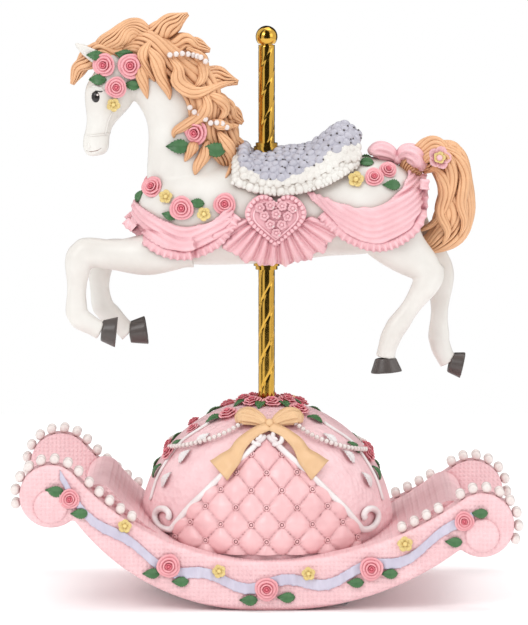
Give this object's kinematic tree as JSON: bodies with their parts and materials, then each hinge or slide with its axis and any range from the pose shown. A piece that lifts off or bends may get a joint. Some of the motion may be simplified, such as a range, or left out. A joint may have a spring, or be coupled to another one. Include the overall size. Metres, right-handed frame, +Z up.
{
  "type": "carousel music box",
  "caption": "Carousel horse on a twisted brass pole over a rocking cradle base, with a key-wound cylinder music movement and a rocking arm under the dome.",
  "frame": {"origin": "centre of the foot of the rockers, on the table, under the pole", "axes": "+Z up along the pole, +X towards the tail so the horse faces -X, -Y towards the viewer"},
  "size_m": [0.194, 0.1228, 0.2242],
  "materials": {
    "pink_resin": "satin",
    "quilt_resin": "satin",
    "white_resin": "satin",
    "trim_resin": "satin",
    "drape_resin": "satin",
    "fleece_resin": "satin",
    "hair_resin": "satin",
    "hoof_resin": "satin",
    "rose_resin": "satin",
    "leaf_resin": "satin",
    "blossom_resin": "satin",
    "ribbon_resin": "satin",
    "bow_resin": "satin",
    "pearl_plastic": "gloss",
    "brass": "polished",
    "steel": "satin",
    "zinc_casting": "satin",
    "black_plastic": "matte",
    "fly_plastic": "matte"
  },
  "bodies": {
    "base": {"front_rocker": "pink_resin", "rear_rocker": "pink_resin", "cradle_floor": "pink_resin", "dome": "pink_resin", "quilt_panels": "quilt_resin", "horse_body": "white_resin", "near_foreleg": "white_resin", "far_foreleg": "white_resin", "near_hind_leg": "white_resin", "far_hind_leg": "white_resin", "scroll_mouldings": "trim_resin", "heart_pads": "trim_resin", "saddle_seat": "trim_resin", "breast_drape": "drape_resin", "rump_drape": "drape_resin", "heart_ruffles": "drape_resin", "rump_bow": "drape_resin", "saddle_fleece": "fleece_resin", "mane": "hair_resin", "tail": "hair_resin", "hooves": "hoof_resin", "garland_roses": "rose_resin", "dome_roses": "rose_resin", "horse_roses": "rose_resin", "garland_leaves": "leaf_resin", "dome_leaves": "leaf_resin", "horse_leaves": "leaf_resin", "garland_blossoms": "blossom_resin", "horse_blossoms": "blossom_resin", "garland_ribbons": "ribbon_resin", "dome_bows": "bow_resin", "rocker_pearls": "pearl_plastic", "pole": "brass", "finial": "brass", "upper_collar": "brass", "lower_collar": "brass", "pole_retainer": "steel", "cover_screws": "steel", "bedplate_screws": "steel", "comb": "steel", "comb_screws": "steel", "mainspring": "steel", "arm_pin": "steel", "movement_bedplate": "zinc_casting", "bearing_posts": "zinc_casting", "comb_support": "zinc_casting", "spring_housing": "zinc_casting", "governor_frame": "zinc_casting", "arm_bracket": "zinc_casting", "bottom_cover": "black_plastic"},
    "drive": {"winding_arbor": "steel", "drive_wheel": "brass", "winding_key": "steel"},
    "cylinder": {"pin_cylinder": "brass", "cylinder_arbor": "steel", "cylinder_gear": "brass", "rocking_cam": "brass"},
    "governor": {"governor_wheel": "brass"},
    "fly": {"air_fly": "fly_plastic"},
    "arm": {"rocking_arm": "steel"}
  },
  "joints": [
    {"name": "cylinder_spin", "type": "hinge", "parent": "base", "child": "cylinder", "pos_m": [0, 0, 0.03352], "axis": [1, 0, 0], "continuous": true},
    {"name": "key_wind", "type": "hinge", "parent": "base", "child": "drive", "pos_m": [-0.016, 0, 0.0155], "axis": [0, 0, 1], "continuous": true},
    {"name": "governor_spin", "type": "hinge", "parent": "base", "child": "governor", "pos_m": [0, 0.012, 0.0267], "axis": [1, 0, 0], "continuous": true},
    {"name": "fly_spin", "type": "hinge", "parent": "base", "child": "fly", "pos_m": [0.0165, 0.0176, 0.0155], "axis": [0, 0, 1], "continuous": true},
    {"name": "rocking_arm_swing", "type": "hinge", "parent": "base", "child": "arm", "pos_m": [0.0301, 0.015, 0.0062], "axis": [1, 0, 0], "range_deg": [0, 4]}
  ],
  "couplings": [
    {"joint": "key_wind", "follows": "cylinder_spin", "ratio": 0.4},
    {"joint": "governor_spin", "follows": "cylinder_spin", "ratio": -3.6},
    {"joint": "fly_spin", "follows": "cylinder_spin", "ratio": 57.6}
  ]
}
